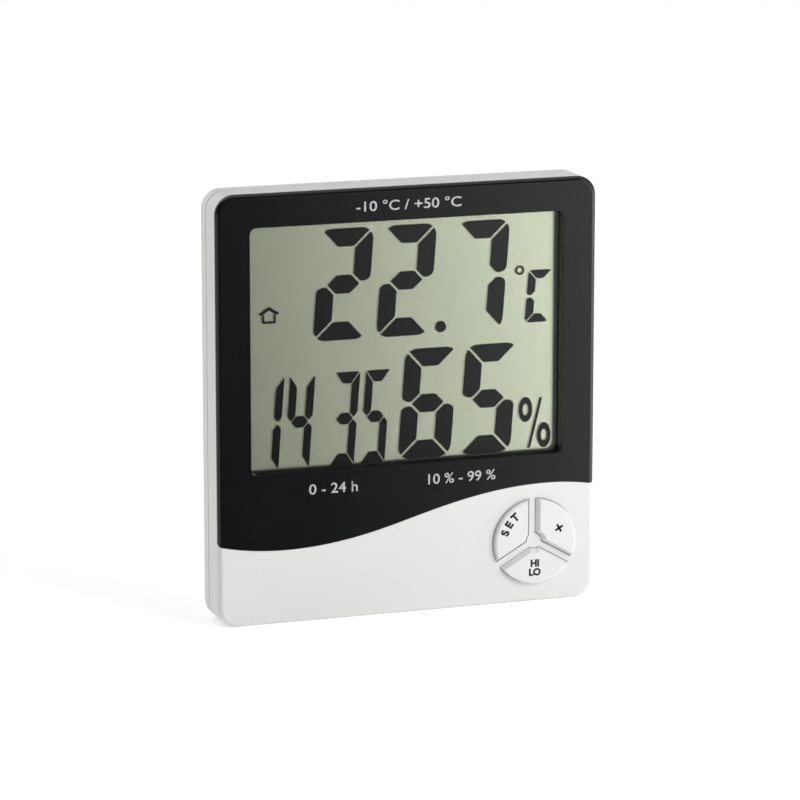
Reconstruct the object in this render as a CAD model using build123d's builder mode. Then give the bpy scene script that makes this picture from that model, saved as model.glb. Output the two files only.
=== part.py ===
from build123d import *
from math import cos, radians, sin
import os

# Table thermometer, hygrometer and clock with a large display, three keys and a fold-out stand.
# Millimetres. X runs to the right as the display is read, the display faces -Y and +Z is up.
# The origin lies on the base, at mid-width and in the middle of the rim's depth.
# A depth is measured from the front face towards the back.

# Case
case_width = 99.0
case_height = 108.0
case_corner = 4.8
rim_depth = 13.25
front_depth = 8.25
wall = 1.8
front_wall = 2.0
edge_round = 1.2
rim_round = 1.0
lap_height = 1.2
lap_thickness = 0.8
seam_width = 0.5
seam_depth = 0.6
fit_gap = 0.1

# Raised back
back_height = 7.5
back_side_inset = 7.0
back_top_inset = 8.5
back_foot_margin = 2.6
back_corner = 6.0
back_round = 2.0

# Bezel: thin over the side walls, thicker between them, with a wavy lower edge
bezel_thickness = 2.1
bezel_edge_thickness = 1.3
bezel_edge_round = 1.1
ledge_thickness = 1.1
bezel_end_round = 1.0
wave_left_z = 20.8
wave_trough_z = 18.75
wave_trough_inset = 19.0
wave_rise_low = (-10.0, 21.45)
wave_rise_high = (9.0, 26.65)
wave_crest_z = 30.6
wave_crest_inset = 13.5
wave_right_z = 29.4
wave_lap = 2.0

# Window and display
window_side_border = 8.6
window_top_border = 8.35
window_bottom_z = 37.95
window_corner = 1.7
window_inner_corner = 0.7
window_bevel = 0.4
glass_lap = 1.0
glass_gap = 0.2
contact_ledge = 4.0
lens_thickness = 0.5
glass_thickness = 0.4
reflector_thickness = 0.25
zebra_width = 2.0
zebra_inset = 2.0
zebra_height = 5.2

# Display frame
frame_wall = 1.0
frame_flange = 2.3
frame_lip = 3.0
ear_height = 5.0
ear_thickness = 1.2
ear_boss_height = 1.6
ear_low_rise = 7.0
ear_high_drop = 14.6

# Keys
key_side_inset = 16.1
key_z = 15.8
key_radius = 10.9
key_proud = 1.4
key_round = 0.7
key_slope_width = 0.85
key_slope_depth = 1.6
key_gap = 0.15
key_web = 1.5
key_web_shift = 0.5
key_hub_radius = 1.9
key_flange = 0.6
key_flange_thickness = 1.2
key_angles = {"left_key": 150.0, "right_key": 30.0, "bottom_key": 270.0}
key_half_turn = 60.0
key_travel = 0.8
stem_offset = 5.4
stem_radius = 2.0
pill_length = 2.1
pill_rest_gap = 0.1
mat_radius = 9.4
mat_thickness = 1.0
mat_collar_height = 1.4
mat_collar_wall = 1.0
mat_hole_gap = 0.6

# Circuit board and the screws that hold it
board_side_gap = 4.9
board_bottom_z = 8.0
board_tray_gap = 9.5
board_thickness = 1.2
board_screw_inset = 5.5
board_screw_low_z = 11.5
board_screw_high_z = 28.0
board_screw_key_gap = 8.0
board_boss_radius = 2.2

# Components on the board
blob_x = -8.0
blob_drop = 16.0
blob_radius = 6.0
blob_height = 1.6
blob_round = 1.4
crystal_x = 6.0
crystal_drop = 24.0
crystal_radius = 1.0
crystal_length = 6.0
thermistor_drop = 13.0
thermistor_radius = 1.2
thermistor_stand = 2.5
leg_radius = 0.3
leg_spread = 1.27
sensor_drop = 22.0
sensor_width = 7.0
sensor_height = 9.0
sensor_depth = 3.0
sensor_slot_count = 4
sensor_slot_width = 5.0
sensor_slot_height = 0.8
sensor_slot_pitch = 1.8
sensor_slot_depth = 1.0
buzzer_drop = 14.0
buzzer_radius = 6.0
buzzer_depth = 4.5
buzzer_hole_radius = 1.0
buzzer_hole_depth = 2.0

# Screws: case, board and display frame
screw_boss_radius = 2.0
case_screw_inset = 4.1
case_screw_low_z = 8.0
case_screw_top_inset = 10.0
case_screw_radius = 0.9
case_screw_length = 8.0
case_screw_head_radius = 1.7
case_screw_head = 1.3
case_screw_sink = 2.0
small_screw_radius = 0.75
small_screw_length = 3.6
small_screw_head_radius = 1.5
small_screw_head = 1.0
screw_gap = 0.05
head_gap = 0.2
cross_width = 0.5
cross_length = 2.1
cross_depth = 0.6

# Cell, its tray, contacts and leads
cell_radius = 5.25
cell_length = 44.5
nub_radius = 1.9
nub_length = 0.9
cell_round = 0.5
cell_drop = 24.5
cell_gap = 0.25
tray_wall = 1.2
tray_floor = 1.2
tray_clearance = 1.4
contact_thickness = 0.4
contact_width = 8.0
contact_height = 8.5
spring_length = 4.8
leaf_width = 4.0
leaf_reach = 3.2
leaf_flat = 2.4
tab_width = 2.4
tab_length = 3.2
tab_gap = 0.15
lead_radius = 0.55
lead_drop_inset = 6.0
lead_board_inset = 4.0
lead_bend_share = 0.45

# Battery door
door_margin = 3.0
door_thickness = 1.2
door_gap = 0.25
door_corner = 1.5
door_ledge = 2.4
tongue_width = 6.0
tongue_lap = 1.6
tongue_length = 3.6
tongue_thickness = 1.1
tongue_spacing = 34.0
tongue_skin = 1.0
tongue_swing = 3.0
nail_width = 12.0
nail_height = 1.6
grip_count = 5
grip_pitch = 2.0
grip_width = 0.8
grip_length = 14.0
grip_depth = 0.4

# Stand
stand_width = 34.0
stand_end_z = 18.0
stand_thickness = 2.4
stand_gap = 0.4
stand_door_gap = 5.5
hinge_radius = 1.7
stub_radius = 1.3
stub_length = 1.8
stub_gap = 0.05
stub_end_gap = 0.2
stand_round = 3.0
panel_margin = 8.0
panel_depth = 1.0
finger_width = 16.0
finger_length = 5.5
recess_wall = 1.5

# Hanging keyhole and vents
keyhole_drop = 9.3
keyhole_radius = 3.5
keyhole_slot_radius = 1.8
keyhole_slot_rise = 4.5
vent_inset = 9.5
vent_drop = 18.0
vent_count = 6
vent_pitch = 4.0
vent_width = 1.8
vent_length = 12.0

# Depths that follow from the sizes above
half_depth = rim_depth / 2
back_depth = rim_depth + back_height
ledge_back = bezel_thickness + ledge_thickness
front_glass_depth = bezel_thickness + lens_thickness
rear_glass_depth = front_glass_depth + glass_thickness
reflector_depth = rear_glass_depth + glass_thickness
flange_depth = reflector_depth + reflector_thickness
frame_back = flange_depth + frame_flange
ear_depth = ledge_back + ear_boss_height
board_depth = rear_glass_depth + zebra_height
board_back = board_depth + board_thickness
key_flange_depth = front_wall + fit_gap
key_flange_back = key_flange_depth + key_flange_thickness
pill_end = board_depth - key_travel - pill_rest_gap
stem_end = pill_end - pill_length
rim_back_wall = rim_depth - wall
back_inside = back_depth - wall
screw_seat = rim_depth - case_screw_sink
door_depth = back_depth - door_thickness
tray_front = frame_back + tray_clearance
tray_back_face = tray_front + tray_floor
cell_depth = tray_back_face + cell_gap + cell_radius
cell_y = cell_depth - half_depth
stand_depth = back_depth - stand_thickness
hinge_y = back_depth - hinge_radius - half_depth
recess_floor = back_depth - 2 * hinge_radius - stand_gap

# Places across the front that follow from the sizes above
half_width = case_width / 2
window_width = case_width - 2 * window_side_border
window_height = case_height - window_top_border - window_bottom_z
window_z = window_bottom_z + window_height / 2
glass_width = window_width + 2 * glass_lap
glass_top = window_bottom_z + window_height + glass_lap
rear_glass_bottom = window_bottom_z - glass_lap
front_glass_bottom = rear_glass_bottom - contact_ledge
glass_height = glass_top - front_glass_bottom
glass_z = (glass_top + front_glass_bottom) / 2
zebra_length = glass_width - 2 * frame_lip
zebra_z = rear_glass_bottom - zebra_inset
frame_width = glass_width + 2 * (glass_gap + frame_wall)
frame_height = glass_height + 2 * (glass_gap + frame_wall)
key_x = half_width - key_side_inset
case_screw_x = half_width - case_screw_inset
case_screw_high_z = case_height - case_screw_top_inset
case_screw_places = [
    (side * case_screw_x, z) for side in (-1, 1) for z in (case_screw_low_z, case_screw_high_z)
]
ear_inner_x = frame_width / 2 - frame_wall
ear_outer_x = case_screw_x + screw_boss_radius
ear_low_z = window_bottom_z + ear_low_rise
ear_high_z = window_bottom_z + window_height - ear_high_drop
ear_places = [(side * case_screw_x, z) for side in (-1, 1) for z in (ear_low_z, ear_high_z)]
board_half_width = half_width - wall - board_side_gap
board_screw_places = [
    (board_screw_inset - board_half_width, board_screw_low_z),
    (board_screw_inset - board_half_width, board_screw_high_z),
    (key_x - key_radius - board_screw_key_gap, board_screw_low_z),
    (board_half_width - board_boss_radius, board_screw_high_z),
]

# Places on the back that follow from the sizes above
back_width = case_width - 2 * back_side_inset
back_top_z = case_height - back_top_inset
cell_z = back_top_z - cell_drop
cell_x = spring_length / 2
tray_height = 2 * (cell_radius + cell_gap)
tray_length = cell_length + spring_length + 2 * contact_thickness
tray_bottom_z = cell_z - tray_height / 2
board_top_z = tray_bottom_z - board_tray_gap
tab_end_z = tray_bottom_z - tray_wall - tab_length
lead_board_z = board_top_z - lead_board_inset
door_width = tray_length + 2 * door_margin
door_height = tray_height + 2 * door_margin
door_top_z = cell_z + door_height / 2
door_bottom_z = cell_z - door_height / 2
tongue_slot_top = door_top_z + door_gap + tongue_lap
tongue_slot_bottom = cell_z + tray_height / 2
hinge_z = door_bottom_z - stand_door_gap
stand_length = hinge_z - stand_end_z
recess_width = stand_width + 2 * stand_gap
recess_top_z = hinge_z + hinge_radius + stand_gap
recess_bottom_z = stand_end_z - stand_gap
finger_bottom_z = recess_bottom_z - finger_length
back_bottom_z = finger_bottom_z - back_foot_margin
back_rise = back_top_z - back_bottom_z
back_middle_z = (back_bottom_z + back_top_z) / 2
keyhole_z = back_top_z - keyhole_drop
vent_x = back_width / 2 - vent_inset
vent_z = board_top_z - vent_drop

# Places of the components on the board, below its upper edge
blob_z = board_top_z - blob_drop
crystal_z = board_top_z - crystal_drop
thermistor_z = board_top_z - thermistor_drop
sensor_x = -vent_x
sensor_z = board_top_z - sensor_drop
buzzer_x = vent_x - buzzer_radius
buzzer_z = board_top_z - buzzer_drop


def layer(depth):
    """Plane at a depth behind the front face, with X to the right and Z up; it looks to the front."""
    return Plane.XZ.offset(half_depth - depth)


def case_outline(inset=0.0, mode=Mode.ADD):
    """The case's rounded outline, drawn in by an inset."""
    with Locations((0, case_height / 2)):
        RectangleRounded(
            case_width - 2 * inset, case_height - 2 * inset, case_corner - inset, mode=mode
        )


def bezel_outline(drop=0.0, mode=Mode.ADD):
    """The front above the wave, lowered by a drop; it reaches up past the top of the case."""
    points = [
        (-half_width, wave_left_z - drop),
        (-half_width + wave_trough_inset, wave_trough_z - drop),
        (wave_rise_low[0], wave_rise_low[1] - drop),
        (wave_rise_high[0], wave_rise_high[1] - drop),
        (half_width - wave_crest_inset, wave_crest_z - drop),
        (half_width, wave_right_z - drop),
    ]
    over = case_height + case_corner
    with BuildSketch(mode=Mode.PRIVATE) as panel:
        with BuildLine():
            wave = Spline(*points)
            Polyline(wave @ 1, (half_width, over), (-half_width, over), wave @ 0)
        make_face()
        fillet(panel.vertices().sort_by(Axis.Y)[:2], bezel_end_round)
    add(panel.sketch, mode=mode)


def key_outline(angle, grow):
    """One key's share of the round group, grown outwards on every side.

    Three webs part the keys; the upright one stands a little to the left of the middle.
    """
    width = key_web + 2 * (key_gap - grow)
    reach = key_radius + key_flange
    low_web = key_angles["bottom_key"] - key_half_turn
    with BuildSketch(mode=Mode.PRIVATE) as group:
        with Locations((key_x, key_z)):
            Circle(key_radius + grow)
            Circle(key_hub_radius + key_gap - grow, mode=Mode.SUBTRACT)
            with PolarLocations(reach / 2, 2, low_web, 2 * key_half_turn, endpoint=True):
                Rectangle(reach, width, mode=Mode.SUBTRACT)
        with Locations((key_x - key_web_shift, key_z + reach / 2)):
            Rectangle(width, reach, mode=Mode.SUBTRACT)
    add(group.faces().sort_by_distance(stem_place(angle))[0])


def screw_columns(radius):
    """The four case screw columns, each with a rib to the side wall."""
    rib = case_screw_inset - wall / 2
    with Locations(*case_screw_places):
        Circle(radius)
    with Locations((0, (case_screw_low_z + case_screw_high_z) / 2)):
        with GridLocations(case_width - wall - rib, case_screw_high_z - case_screw_low_z, 2, 2):
            Rectangle(rib, screw_boss_radius)


def stem_place(angle):
    """Where the stem of the key at an angle stands."""
    return (key_x + stem_offset * cos(radians(angle)), key_z + stem_offset * sin(radians(angle)))


def glass_sheet(bottom):
    """A sheet of the display's width, from a bottom edge up to its top."""
    with Locations((0, (glass_top + bottom) / 2)):
        Rectangle(glass_width, glass_top - bottom)


def contact_plate():
    """A battery contact's plate and the solder tab below it, drawn on a plane across X."""
    with Locations((cell_y, cell_z)):
        Rectangle(contact_width, contact_height)
    with Locations((cell_y, (tab_end_z + cell_z) / 2)):
        Rectangle(tab_width, cell_z - tab_end_z)


os.makedirs("parts", exist_ok=True)

# Front shell
with BuildPart() as front_shell:
    with BuildSketch(layer(0)):
        case_outline()
    extrude(amount=-front_depth)
    fillet(front_shell.faces().sort_by(Axis.Y)[0].edges(), edge_round)
    # Hollow, deeper below the wave than behind the bezel
    with BuildSketch(layer(ledge_back)):
        case_outline(wall)
    extrude(amount=ledge_back - front_depth, mode=Mode.SUBTRACT)
    with BuildSketch(layer(front_wall)):
        case_outline(wall)
        bezel_outline(drop=wave_lap, mode=Mode.SUBTRACT)
    extrude(amount=front_wall - ledge_back, mode=Mode.SUBTRACT)
    # Bosses for the board, the case and the display frame
    with BuildSketch(layer(front_wall)):
        with Locations(*board_screw_places):
            Circle(board_boss_radius)
    extrude(amount=front_wall - board_depth)
    with BuildSketch(layer(front_wall)):
        screw_columns(screw_boss_radius)
    extrude(amount=front_wall - front_depth)
    with BuildSketch(layer(ledge_back)):
        with Locations(*ear_places):
            Circle(screw_boss_radius)
    extrude(amount=-ear_boss_height)
    # Seat of the bezel, and the opening for lens and glass behind it
    with BuildSketch(layer(0)):
        bezel_outline(drop=fit_gap)
    extrude(amount=-bezel_edge_thickness, mode=Mode.SUBTRACT)
    with BuildSketch(layer(0)):
        case_outline(wall - fit_gap)
        bezel_outline(drop=fit_gap, mode=Mode.INTERSECT)
    extrude(amount=-bezel_thickness, mode=Mode.SUBTRACT)
    with BuildSketch(layer(bezel_thickness)):
        with Locations((0, glass_z)):
            Rectangle(glass_width + 2 * glass_gap, glass_height + 2 * glass_gap)
    extrude(amount=-ledge_thickness, mode=Mode.SUBTRACT)
    # Round group: one hole for each key, with the web between them
    for angle in key_angles.values():
        with BuildSketch(layer(0)):
            key_outline(angle, key_gap)
        extrude(amount=-front_wall, mode=Mode.SUBTRACT)
    # Screw holes
    with BuildSketch(layer(front_depth)):
        with Locations(*case_screw_places):
            Circle(case_screw_radius + screw_gap)
    extrude(amount=case_screw_length - (screw_seat - front_depth) + fit_gap, mode=Mode.SUBTRACT)
    with BuildSketch(layer(board_depth)):
        with Locations(*board_screw_places):
            Circle(small_screw_radius + screw_gap)
    extrude(amount=small_screw_length - board_thickness + fit_gap, mode=Mode.SUBTRACT)
    with BuildSketch(layer(ear_depth)):
        with Locations(*ear_places):
            Circle(small_screw_radius + screw_gap)
    extrude(amount=small_screw_length - ear_thickness + fit_gap, mode=Mode.SUBTRACT)
    # Rebate for the rear shell's lip
    with BuildSketch(layer(front_depth)):
        case_outline(wall - lap_thickness - fit_gap)
        case_outline(wall, mode=Mode.SUBTRACT)
    extrude(amount=lap_height, mode=Mode.SUBTRACT)
front_shell.part.label = "front_shell"
export_step(front_shell.part, "parts/front_shell.step")

# Bezel
with BuildPart() as bezel:
    with BuildSketch(layer(0)):
        case_outline()
    extrude(amount=-bezel_edge_thickness)
    fillet(bezel.faces().sort_by(Axis.Y)[0].edges(), bezel_edge_round)
    with BuildSketch(layer(bezel_edge_thickness)):
        case_outline(wall)
    extrude(amount=bezel_edge_thickness - bezel_thickness)
    with BuildSketch(layer(0)):
        bezel_outline()
    extrude(amount=-bezel_thickness, mode=Mode.INTERSECT)
    for depth, bevel, corner in ((0, 0, window_corner), (bezel_thickness, window_bevel, window_inner_corner)):
        with BuildSketch(layer(depth)):
            with Locations((0, window_z)):
                RectangleRounded(window_width - 2 * bevel, window_height - 2 * bevel, corner)
    loft(mode=Mode.SUBTRACT)
bezel.part.label = "bezel"
export_step(bezel.part, "parts/bezel.step")

# Lens and display cell, one sheet behind another
with BuildPart() as display_lens:
    with BuildSketch(layer(bezel_thickness)):
        glass_sheet(front_glass_bottom)
    extrude(amount=-lens_thickness)
display_lens.part.label = "display_lens"
export_step(display_lens.part, "parts/display_lens.step")

with BuildPart() as lcd_front_glass:
    with BuildSketch(layer(front_glass_depth)):
        glass_sheet(front_glass_bottom)
    extrude(amount=-glass_thickness)
lcd_front_glass.part.label = "lcd_front_glass"
export_step(lcd_front_glass.part, "parts/lcd_front_glass.step")

with BuildPart() as lcd_rear_glass:
    with BuildSketch(layer(rear_glass_depth)):
        glass_sheet(rear_glass_bottom)
    extrude(amount=-glass_thickness)
lcd_rear_glass.part.label = "lcd_rear_glass"
export_step(lcd_rear_glass.part, "parts/lcd_rear_glass.step")

with BuildPart() as lcd_reflector:
    with BuildSketch(layer(reflector_depth)):
        glass_sheet(rear_glass_bottom)
    extrude(amount=-reflector_thickness)
lcd_reflector.part.label = "lcd_reflector"
export_step(lcd_reflector.part, "parts/lcd_reflector.step")

# Display frame: a wall round the glass, a flange behind it and four screw ears
with BuildPart() as lcd_frame:
    with BuildSketch(layer(ledge_back)):
        with Locations((0, glass_z)):
            Rectangle(frame_width, frame_height)
            Rectangle(glass_width + 2 * glass_gap, glass_height + 2 * glass_gap, mode=Mode.SUBTRACT)
    extrude(amount=ledge_back - frame_back)
    with BuildSketch(layer(flange_depth)):
        with Locations((0, glass_z)):
            Rectangle(frame_width, frame_height)
        with Locations((0, (glass_top + rear_glass_bottom) / 2)):
            Rectangle(
                glass_width - 2 * frame_lip,
                glass_top - rear_glass_bottom - 2 * frame_lip,
                mode=Mode.SUBTRACT,
            )
        with Locations((0, zebra_z)):
            Rectangle(zebra_length + 2 * glass_gap, zebra_width + 2 * glass_gap, mode=Mode.SUBTRACT)
    extrude(amount=-frame_flange)
    with BuildSketch(layer(ear_depth)):
        with Locations((0, (ear_low_z + ear_high_z) / 2)):
            with GridLocations(ear_inner_x + ear_outer_x, ear_high_z - ear_low_z, 2, 2):
                Rectangle(ear_outer_x - ear_inner_x, ear_height)
    extrude(amount=-ear_thickness)
    with BuildSketch(layer(ledge_back)):
        with Locations((0, glass_z)):
            Rectangle(glass_width + 2 * glass_gap, glass_height + 2 * glass_gap)
    extrude(amount=ledge_back - flange_depth, mode=Mode.SUBTRACT)
    with BuildSketch(layer(ear_depth)):
        with Locations(*ear_places):
            Circle(small_screw_radius + screw_gap)
    extrude(amount=-ear_thickness, mode=Mode.SUBTRACT)
lcd_frame.part.label = "lcd_frame"
export_step(lcd_frame.part, "parts/lcd_frame.step")

# Rubber connector from the front glass's contact ledge to the board
with BuildPart() as zebra_strip:
    with BuildSketch(layer(rear_glass_depth)):
        with Locations((0, zebra_z)):
            Rectangle(zebra_length, zebra_width)
    extrude(amount=-zebra_height)
zebra_strip.part.label = "zebra_strip"
export_step(zebra_strip.part, "parts/zebra_strip.step")

# Circuit board
with BuildPart() as circuit_board:
    with BuildSketch(layer(board_depth)):
        with Locations((0, (board_bottom_z + board_top_z) / 2)):
            Rectangle(2 * board_half_width, board_top_z - board_bottom_z)
        with Locations(*board_screw_places):
            Circle(small_screw_radius + screw_gap, mode=Mode.SUBTRACT)
    extrude(amount=-board_thickness)
circuit_board.part.label = "circuit_board"
export_step(circuit_board.part, "parts/circuit_board.step")

# Components on the back of the board
with BuildPart() as controller_blob:
    with BuildSketch(layer(board_back)):
        with Locations((blob_x, blob_z)):
            Circle(blob_radius)
    extrude(amount=-blob_height)
    fillet(controller_blob.faces().sort_by(Axis.Y)[-1].edges(), blob_round)
controller_blob.part.label = "controller_blob"
export_step(controller_blob.part, "parts/controller_blob.step")

with BuildPart() as clock_crystal:
    with BuildSketch(Plane.YZ.offset(crystal_x - crystal_length / 2)):
        with Locations((board_back + crystal_radius - half_depth, crystal_z)):
            Circle(crystal_radius)
    extrude(amount=crystal_length)
clock_crystal.part.label = "clock_crystal"
export_step(clock_crystal.part, "parts/clock_crystal.step")

with BuildPart() as thermistor:
    with BuildSketch(layer(board_back)):
        with Locations((sensor_x, thermistor_z)):
            with GridLocations(leg_spread, 0, 2, 1):
                Circle(leg_radius)
    extrude(amount=-thermistor_stand)
    with Locations((sensor_x, board_back + thermistor_stand - half_depth, thermistor_z)):
        Sphere(thermistor_radius)
thermistor.part.label = "thermistor"
export_step(thermistor.part, "parts/thermistor.step")

with BuildPart() as humidity_sensor:
    with BuildSketch(layer(board_back)):
        with Locations((sensor_x, sensor_z)):
            Rectangle(sensor_width, sensor_height)
    extrude(amount=-sensor_depth)
    with BuildSketch(layer(board_back + sensor_depth)):
        with Locations((sensor_x, sensor_z)):
            with GridLocations(0, sensor_slot_pitch, 1, sensor_slot_count):
                Rectangle(sensor_slot_width, sensor_slot_height)
    extrude(amount=sensor_slot_depth, mode=Mode.SUBTRACT)
humidity_sensor.part.label = "humidity_sensor"
export_step(humidity_sensor.part, "parts/humidity_sensor.step")

with BuildPart() as buzzer:
    with BuildSketch(layer(board_back)):
        with Locations((buzzer_x, buzzer_z)):
            Circle(buzzer_radius)
    extrude(amount=-buzzer_depth)
    with BuildSketch(layer(board_back + buzzer_depth)):
        with Locations((buzzer_x, buzzer_z)):
            Circle(buzzer_hole_radius)
    extrude(amount=buzzer_hole_depth, mode=Mode.SUBTRACT)
buzzer.part.label = "buzzer"
export_step(buzzer.part, "parts/buzzer.step")

# Rubber mat under the keys, with a collar round each contact pill
with BuildPart() as key_mat:
    with BuildSketch(layer(board_depth)):
        with Locations((key_x, key_z)):
            Circle(mat_radius)
    extrude(amount=mat_thickness)
    with BuildSketch(layer(board_depth - mat_thickness)):
        with Locations(*[stem_place(angle) for angle in key_angles.values()]):
            Circle(stem_radius + mat_hole_gap + mat_collar_wall)
    extrude(amount=mat_collar_height)
    with BuildSketch(layer(board_depth)):
        with Locations(*[stem_place(angle) for angle in key_angles.values()]):
            Circle(stem_radius + mat_hole_gap)
    extrude(amount=mat_thickness + mat_collar_height, mode=Mode.SUBTRACT)
key_mat.part.label = "key_mat"
export_step(key_mat.part, "parts/key_mat.step")

# Keys, each with the contact pill under its stem
for key_name, angle in key_angles.items():
    with BuildPart() as key:
        with BuildSketch(layer(-key_proud)):
            key_outline(angle, 0)
        extrude(amount=-key_proud - key_flange_depth)
        # Sloping walls along the webs and the hub, and a round edge along the outer arc
        key_top = key.faces().sort_by(Axis.Y)[0]
        inner_edges = key_top.edges().sort_by(SortBy.LENGTH)[:-1]
        chamfer(inner_edges, key_slope_width, key_slope_depth, reference=key_top)
        key_top = key.faces().sort_by(Axis.Y)[0]
        fillet(key_top.edges().sort_by(SortBy.LENGTH)[-1], key_round)
        with BuildSketch(layer(key_flange_depth)):
            key_outline(angle, key_flange)
        extrude(amount=-key_flange_thickness)
        with BuildSketch(layer(key_flange_back)):
            with Locations(stem_place(angle)):
                Circle(stem_radius)
        extrude(amount=key_flange_back - stem_end)
    key.part.label = key_name
    export_step(key.part, f"parts/{key_name}.step")

    with BuildPart() as pill:
        with BuildSketch(layer(stem_end)):
            with Locations(stem_place(angle)):
                Circle(stem_radius)
        extrude(amount=-pill_length)
    pill.part.label = f"{key_name}_pill"
    export_step(pill.part, f"parts/{key_name}_pill.step")

# Rear shell: rim, raised back, cell tray, stand recess, keyhole and vents
with BuildPart() as rear_shell:
    with BuildSketch(layer(front_depth)):
        case_outline()
    extrude(amount=front_depth - rim_depth)
    fillet(rear_shell.faces().sort_by(Axis.Y)[-1].edges(), rim_round)
    with BuildSketch(layer(rim_back_wall)):
        with Locations((0, back_middle_z)):
            RectangleRounded(back_width, back_rise, back_corner)
    extrude(amount=rim_back_wall - back_depth)
    fillet(rear_shell.faces().sort_by(Axis.Y)[-1].edges(), back_round)
    with BuildSketch(layer(front_depth)):
        case_outline(wall)
    extrude(amount=front_depth - rim_back_wall, mode=Mode.SUBTRACT)
    with BuildSketch(layer(front_depth)):
        with Locations((0, back_middle_z)):
            RectangleRounded(back_width - 2 * wall, back_rise - 2 * wall, back_corner - wall)
    extrude(amount=front_depth - back_inside, mode=Mode.SUBTRACT)
    # Lip that laps into the front shell
    with BuildSketch(layer(front_depth)):
        case_outline(wall - lap_thickness)
        case_outline(wall, mode=Mode.SUBTRACT)
    extrude(amount=lap_height - fit_gap)
    # Shadow line along the parting
    with BuildSketch(layer(front_depth)):
        case_outline()
        case_outline(seam_depth, mode=Mode.SUBTRACT)
    extrude(amount=-seam_width, mode=Mode.SUBTRACT)
    # Screw columns with their sunk heads
    with BuildSketch(layer(front_depth)):
        screw_columns(screw_boss_radius + head_gap)
    extrude(amount=front_depth - rim_back_wall)
    with BuildSketch(layer(front_depth)):
        with Locations(*case_screw_places):
            Circle(case_screw_radius + screw_gap)
    extrude(amount=front_depth - rim_depth, mode=Mode.SUBTRACT)
    with BuildSketch(layer(screw_seat)):
        with Locations(*case_screw_places):
            Circle(case_screw_head_radius + head_gap)
    extrude(amount=screw_seat - rim_depth, mode=Mode.SUBTRACT)
    # Cell tray, and a thicker ledge round it for the door
    with BuildSketch(layer(tray_front)):
        with Locations((0, cell_z)):
            Rectangle(tray_length + 2 * tray_wall, tray_height + 2 * tray_wall)
    extrude(amount=tray_front - back_inside)
    with BuildSketch(layer(door_depth - door_ledge)):
        with Locations((0, cell_z)):
            Rectangle(door_width + 2 * tray_wall, door_height + 2 * tray_wall)
    extrude(amount=door_depth - door_ledge - back_inside)
    with BuildSketch(layer(tray_back_face)):
        with Locations((0, cell_z)):
            Rectangle(tray_length, tray_height)
    extrude(amount=tray_back_face - back_depth, mode=Mode.SUBTRACT)
    # Slots below the tray for the contacts' solder tabs
    with BuildSketch(layer(cell_depth - tab_width / 2 - tab_gap)):
        with Locations((0, tray_bottom_z - tray_wall / 2)):
            with GridLocations(tray_length - contact_thickness, 0, 2, 1):
                Rectangle(contact_thickness + 2 * tab_gap, tray_wall)
    extrude(amount=-tab_width - 2 * tab_gap, mode=Mode.SUBTRACT)
    # Seat of the door, slots behind its upper edge for the tongues, and a notch for a fingernail
    with BuildSketch(layer(door_depth)):
        with Locations((0, cell_z)):
            RectangleRounded(door_width + 2 * door_gap, door_height + 2 * door_gap, door_corner)
        with Locations((0, door_bottom_z)):
            SlotOverall(nail_width, 2 * nail_height)
    extrude(amount=-door_thickness, mode=Mode.SUBTRACT)
    with BuildSketch(layer(back_depth - tongue_swing)):
        with Locations((0, (tongue_slot_top + tongue_slot_bottom) / 2)):
            with GridLocations(tongue_spacing, 0, 2, 1):
                Rectangle(tongue_width + 2 * door_gap, tongue_slot_top - tongue_slot_bottom)
    extrude(amount=-tongue_swing + tongue_skin, mode=Mode.SUBTRACT)
    # Stand recess, with walls that carry the hinge stubs, and a notch for a finger
    with BuildSketch(layer(recess_floor - recess_wall)):
        with Locations((0, (recess_top_z + finger_bottom_z) / 2)):
            Rectangle(
                recess_width + 2 * (stub_length + recess_wall),
                recess_top_z - finger_bottom_z + 2 * recess_wall,
            )
    extrude(amount=recess_floor - recess_wall - back_inside)
    with BuildSketch(layer(recess_floor)):
        with Locations((0, (recess_top_z + recess_bottom_z) / 2)):
            Rectangle(recess_width, recess_top_z - recess_bottom_z)
        with Locations((0, recess_bottom_z)):
            SlotOverall(finger_width, 2 * finger_length)
    extrude(amount=recess_floor - back_depth, mode=Mode.SUBTRACT)
    with Locations((0, hinge_y, hinge_z)):
        Cylinder(
            stub_radius + stub_gap,
            recess_width + 2 * (stub_length + stub_end_gap),
            rotation=(0, 90, 0),
            mode=Mode.SUBTRACT,
        )
    # Keyhole for hanging, and vents for the sensors and the buzzer
    with BuildSketch(layer(back_inside)):
        with Locations((0, keyhole_z)):
            Circle(keyhole_radius)
        with Locations((0, keyhole_z + keyhole_slot_rise / 2)):
            SlotCenterToCenter(keyhole_slot_rise, 2 * keyhole_slot_radius, rotation=90)
    extrude(amount=-wall, mode=Mode.SUBTRACT)
    with BuildSketch(layer(back_inside)):
        with Locations((0, vent_z)):
            with GridLocations(2 * vent_x, vent_pitch, 2, vent_count):
                SlotOverall(vent_length, vent_width)
    extrude(amount=-wall, mode=Mode.SUBTRACT)
rear_shell.part.label = "rear_shell"
export_step(rear_shell.part, "parts/rear_shell.step")

# AAA cell, its nub to the right
with BuildPart() as battery_cell:
    with BuildSketch(Plane.YZ.offset(cell_x - cell_length / 2)):
        with Locations((cell_y, cell_z)):
            Circle(cell_radius)
    extrude(amount=cell_length - nub_length)
    fillet(battery_cell.edges().filter_by(GeomType.CIRCLE), cell_round)
    with BuildSketch(Plane.YZ.offset(cell_x + cell_length / 2 - nub_length)):
        with Locations((cell_y, cell_z)):
            Circle(nub_radius)
    extrude(amount=nub_length)
battery_cell.part.label = "battery_cell"
export_step(battery_cell.part, "parts/battery_cell.step")

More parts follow.
